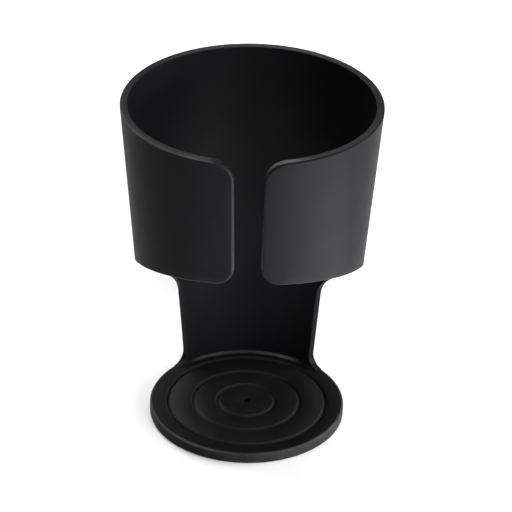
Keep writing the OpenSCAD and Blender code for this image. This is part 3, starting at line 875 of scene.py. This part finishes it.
# The pads: a flat body and ribs across it.
PAD_HALF, PAD_CORNER = 18, 7
pad_body = fillet([(-PAD_HALF, 75), (PAD_HALF, 75), (PAD_HALF, 107), (-PAD_HALF, 107)],
                  [0.6, 0.6, PAD_CORNER, PAD_CORNER], 10)
pad = [slab(pad_body, 78.45, 80.3, 0.35, 0.1, along_z)]
for y in np.arange(76.3, 106.4, 2.3):
    cut = max(0.0, float(y) + 0.7 - 100)           # how far into the rounded corners this rib reaches
    half = PAD_HALF - (PAD_CORNER - math.sqrt(max(0, PAD_CORNER ** 2 - cut * cut))) - 0.35
    pad.append(slab(box_outline(-half, y - 0.7, half, y + 0.7, 0.5, 4), 78.0, 78.8, 0.3, 0.05, along_z, 3))
make("jaw_pad_ribbed", *merge(pad), "jaw_pad", "clamp", sharp=40)

strip = [slab(box_outline(-17, 38, 17, 76, 1.5), 72.8, 74.1, 0.05, 0.3, along_y)]
for z in np.arange(40.4, 74.6, 3.35):
    rib = box_outline(-16.6, z - 1.0, 16.6, z + 1.0, 0.8, 4)
    strip.append(slab(rib, 73.6, 74.5, 0.05, 0.35, along_y, 3))
make("edge_pad_ribbed", *merge(strip), "edge_pad", "clamp", sharp=40)

bush = soft([(4.05, ARM0 - 0.04), (6.0, ARM0 - 0.04), (6.0, ARM1 + 0.04), (4.05, ARM1 + 0.04)], 0.25)
make("thread_bush_ring", *turned(bush, ON_SCREW), "thread_bush", "clamp", sharp=40)


def thread(r, pitch, z0, z1, cy, seg, per_turn):
    """A right-hand thread along one helix, with both ends run out to the root."""
    depth = 0.61 * pitch
    rows = int(round((z1 - z0) / pitch * per_turn))
    rings = []
    for j in range(rows + 1):
        z = z0 + (z1 - z0) * j / rows
        end = max(0.0, min(1.0, (z - z0) / (0.6 * pitch), (z1 - z) / (0.6 * pitch)))
        ring = []
        for i, a in enumerate(turns(seg)):
            u = (z / pitch - i / seg) % 1.0
            tooth = min(1.0, max(0.0, (0.5 - abs(u - 0.5)) * 2.5 - 0.12))
            rr = r - depth + depth * tooth * end
            ring.append((rr * math.cos(a), cy + rr * math.sin(a), z))
        rings.append(ring)
    return rings_to_mesh(rings)


dome = fillet([(0, EAR1 + 0.3), (4.9, EAR1 + 0.3), (4.9, EAR1), (6.2, EAR1), (6.2, EAR1 + 5.2),
               (4.2, EAR1 + 5.2), (3.6, EAR1 + 4.9), (0, EAR1 + 4.9)],
              [0, 0.1, 0.1, 0.4, 1.4, 0.3, 0.3, 0], 6)
make("pivot_cap_dome", *turned(dome, ON_PIVOT), "pivot_cap", "clamp", sharp=40)

NUT0, NUT1 = low("pivot_nut")[2], high("pivot_nut")[2]
shank = [(0, NUT0 - 0.4), (2.1, NUT0 - 0.4), (2.1, NUT1), (3.0, NUT1 + 2.9), (3.0, EAR1 + 0.2),
         (0, EAR1 + 0.2)]
make("pivot_bolt_threaded", *merge([turned(shank, ON_PIVOT, 48),
                                    thread(2.5, 0.8, low("pivot_bolt")[2], NUT1 + 2.6, PIVOT_Y, 32, 7)]),
     "pivot_bolt", "clamp", sharp=45)


def hex_nut(r, z0, z1, bore, cy, chamfer=0.45, seg=72):
    """A hexagon nut of corner radius r, whose corners are turned off towards both faces."""
    flat = r * COS30
    slope = [(flat - 0.15 + (r - flat + 0.25) * t, chamfer * t ** 1.4) for t in np.linspace(0, 1, 5)]
    levels = [(bore, z0), (flat - 0.15, z0)] + [(lim, z0 + d) for lim, d in slope]
    levels += [(lim, z1 - d) for lim, d in slope[::-1]] + [(flat - 0.15, z1), (bore, z1)]
    rings = []
    for lim, z in levels:
        radii = [min(lim, hexagon(flat, a)) for a in turns(seg)]
        rings.append([(rr * math.cos(a), cy + rr * math.sin(a), z) for a, rr in zip(turns(seg), radii)])
    return weld(*rings_to_mesh(rings, closed=True))


make("pivot_lock_nut", *hex_nut(4.6, NUT0, NUT1, 2.52, PIVOT_Y), "pivot_nut", "clamp", sharp=30)

# ---- Foot, screw and knob --------------------------------------------------------------------

FT = high("pressure_foot")[2]
foot = fillet([(0, FT), (15, FT), (15, FT - 3), (9.5, FT - 3), (7.5, FT - 4.4), (7.5, FT - 9),
               (3.6, FT - 9), (3.6, FT - 5), (0, FT - 5)], [0, 0.7, 0.7, 1.0, 1.2, 0.5, 0.3, 0, 0], 5)
make("pressure_foot_turned", *turned(foot, ON_SCREW), "pressure_foot", "foot", sharp=35)

FP = high("foot_pad")[2]
pad_profile = [(0, FP - 2), (14, FP - 2), (14, FP - 0.5), (13.5, FP)]
for r in (11.6, 8.8, 6.0, 3.2):
    pad_profile += [(r + 0.7, FP), (r + 0.4, FP - 0.45), (r - 0.4, FP - 0.45), (r - 0.7, FP)]
pad_profile += [(0, FP)]
make("foot_pad_grooved", *turned(pad_profile, ON_SCREW), "foot_pad", "foot", sharp=50)

S0, S1 = low("clamp_screw")[2], FT - 10.0          # the screw's lower end and where its neck begins
core = [(0, S0), (3.95, S0), (3.95, 11.2), (3.2, 11.6), (3.2, S1 - 0.6), (2.3, S1), (2.3, S1 + 5),
        (0, S1 + 5)]
make("clamp_screw_threaded", *merge([turned(core, ON_SCREW, 64),
                                     thread(4.0, 1.25, 10.9, S1 + 0.2, SCREW_Y, 56, 10)]),
     "clamp_screw", "screw", sharp=50)


def lobed(a, lobes=7, waist=14.8, c=12.8, r=4.2, blend=0.9):
    """The knob's radius at angle a: lobes of radius r about a circle of radius c, over a round waist."""
    d = (a + math.pi / lobes) % (2 * math.pi / lobes) - math.pi / lobes
    q = r * r - (c * math.sin(d)) ** 2
    lobe = c * math.cos(d) + math.sqrt(q) if q > 0 else 0
    h = max(0.0, blend - abs(lobe - waist)) / blend
    return max(lobe, waist) + h * h * blend * 0.25 - 0.2 * h


# The knob's levels as (height, inset, share, circle), from its hollow underside out, up and in to its
# bore. At share 0 the outline is the lobed shape less the inset, and at share 1 a circle of that radius.
knob_levels = [(3.0, 0, 1, 9.05), (0.35, 0, 1, 9.05), (0.06, 0, 1, 9.3), (0, 0, 1, 9.7)]
knob_levels += [(z, inset, 0, 0) for z, inset in (
    (0, 1.5), (0.1, 0.95), (0.42, 0.42), (0.95, 0.1), (1.5, 0), (4.2, 0), (6.6, 0), (7.3, 0.1),
    (7.95, 0.45), (8.45, 1.0), (8.8, 1.8))]
knob_levels += [(9.0, 2.8, 0.35, 12.6), (9.08, 0, 0.8, 12.0)]
knob_levels += [(z, 0, 1, r) for z, r in (
    (9.2, 11.4), (9.7, 10.5), (10.6, 9.5), (11.5, 8.6), (11.85, 8.1), (12.0, 7.4), (12.0, 4.5),
    (11.7, 4.06), (3.0, 4.06))]
rings = []
for z, inset, share, circle in knob_levels:
    ring = []
    for a in turns(196):
        r = (lobed(a) - inset) * (1 - share) + circle * share
        ring.append((r * math.sin(a), SCREW_Y + r * math.cos(a), z))
    rings.append(ring)
make("knob_lobed", *weld(*rings_to_mesh(rings, closed=True)), "knob", "screw", sharp=42)

cap = fillet([(0, 3.0), (0, 0.7), (5.6, 0.7), (6.2, 0.3), (9.0, 0.3), (9.0, 3.0)],
             [0, 0, 0.3, 0.2, 0.4, 0.1], 4)
make("knob_end_cap", *turned(cap, ON_SCREW), "knob_cap", "screw", sharp=40)

# ---- Kept CAD nodes take their procedural finish --------------------------------------------

for name, obj in NODES.items():
    for s in obj.material_slots:
        s.material = MATS[SLOTS[name]]

# ---- Stage, light and camera, all in metres ---------------------------------------------------

floor_mesh = bpy.data.meshes.new("floor")
floor_mesh.from_pydata([(-6, -6, 0), (6, -6, 0), (6, 6, 0), (-6, 6, 0)], [], [(0, 1, 2, 3)])
floor = bpy.data.objects.new("floor", floor_mesh)
bpy.context.scene.collection.objects.link(floor)
floor_mat = bpy.data.materials.new("studio_floor")
floor_mat.use_nodes = True
paint = floor_mat.node_tree.nodes["Principled BSDF"]
paint.inputs["Base Color"].default_value = (0.9, 0.9, 0.9, 1)
paint.inputs["Roughness"].default_value = 0.9
paint.inputs["Specular IOR Level"].default_value = 0.0
floor_mesh.materials.append(floor_mat)

world = bpy.data.worlds.new("studio")
bpy.context.scene.world = world
world.use_nodes = True
world.node_tree.nodes["Background"].inputs[0].default_value = WHITE
world.node_tree.nodes["Background"].inputs[1].default_value = 0.01


def area(name, azimuth, elevation, dist, size, power, size_y):
    """A soft light aimed at the holder. Azimuth 0 is in front (-Y), 90 is at the right (+X)."""
    a, e = math.radians(azimuth), math.radians(elevation)
    d = Vector((math.sin(a) * math.cos(e), -math.cos(a) * math.cos(e), math.sin(e)))
    light = bpy.data.lights.new(name, "AREA")
    light.shape = "RECTANGLE"
    light.size = size
    light.size_y = size_y
    light.energy = power
    o = bpy.data.objects.new(name, light)
    o.location = Vector((0, 0, 0.07)) + d * dist
    o.rotation_euler = d.to_track_quat("Z", "Y").to_euler()
    bpy.context.scene.collection.objects.link(o)


def floor_wash(name, x, y, spread, power, height=0.6):
    """A light from above that brightens one patch of the floor, so that the walls mirror it."""
    light = bpy.data.lights.new(name, "SPOT")
    light.energy = power
    light.spot_size = 2 * math.atan(spread / height)
    light.spot_blend = 1.0
    light.shadow_soft_size = 0.03
    o = bpy.data.objects.new(name, light)
    o.location = (x, y, height)
    bpy.context.scene.collection.objects.link(o)
    return o


def floor_fill(name, x, y, side, power):
    """A small light that takes the shadow off the floor beside the stem, from outside the cup."""
    o = floor_wash(name, x, y, 0.036, power, height=0.3)
    o.location = (x + side * 0.24, y + 0.12, 0.22)
    o.rotation_euler = (Vector((x, y, 0)) - o.location).to_track_quat("-Z", "Y").to_euler()


area("key_right", 68, 22, 0.62, 0.45, 1.8, 0.4)
area("side_right", 100, 8, 0.7, 0.4, 5.7, 0.3)
area("front_right", 35, 10, 0.7, 0.4, 3.4, 0.3)
area("back_top", 172, 42, 1.0, 0.9, 3.1, 0.5)
area("back_left", -145, 40, 0.9, 0.5, 5.5, 0.5)
area("overhead", 0, 80, 1.1, 0.9, 6.6, 0.9)
floor_wash("wash_front_right", 0.085, -0.15, 0.09, 135)
floor_wash("wash_right", 0.15, -0.07, 0.10, 215)
floor_wash("wash_front_left", -0.075, -0.15, 0.09, 62)
floor_fill("fill_left", -0.040, 0.045, -1, 2.4)
floor_fill("fill_right", 0.040, 0.045, 1, 2.0)

# The camera looks down at the holder's front. It stands CAM_DIST from the point at height AIM_Z on the
# axis, then moves CAM_RIGHT and CAM_UP across its view, and rolls.
AZ, EL, ROLL = math.radians(0.5), math.radians(30.655), math.radians(-1.172)
LENS, CAM_DIST, CAM_RIGHT, CAM_UP, AIM_Z = 237.15, 1.2414, 0.00243, 0.00501, 0.06149
back = Vector((math.sin(AZ) * math.cos(EL), -math.cos(AZ) * math.cos(EL), math.sin(EL)))
right = Vector((math.cos(AZ), math.sin(AZ), 0))
up = back.cross(right)
cam_data = bpy.data.cameras.new("camera")
cam_data.sensor_width = 36
cam_data.lens = LENS
cam_data.clip_end = 30
cam = bpy.data.objects.new("camera", cam_data)
bpy.context.scene.collection.objects.link(cam)
x_axis = right * math.cos(ROLL) - up * math.sin(ROLL)
y_axis = right * math.sin(ROLL) + up * math.cos(ROLL)
pose = Matrix((x_axis, y_axis, back)).transposed().to_4x4()
pose.translation = Vector((0, 0, AIM_Z)) + back * CAM_DIST + right * CAM_RIGHT + up * CAM_UP
cam.matrix_world = pose
bpy.context.scene.camera = cam
bpy.context.scene.view_settings.view_transform = "Standard"
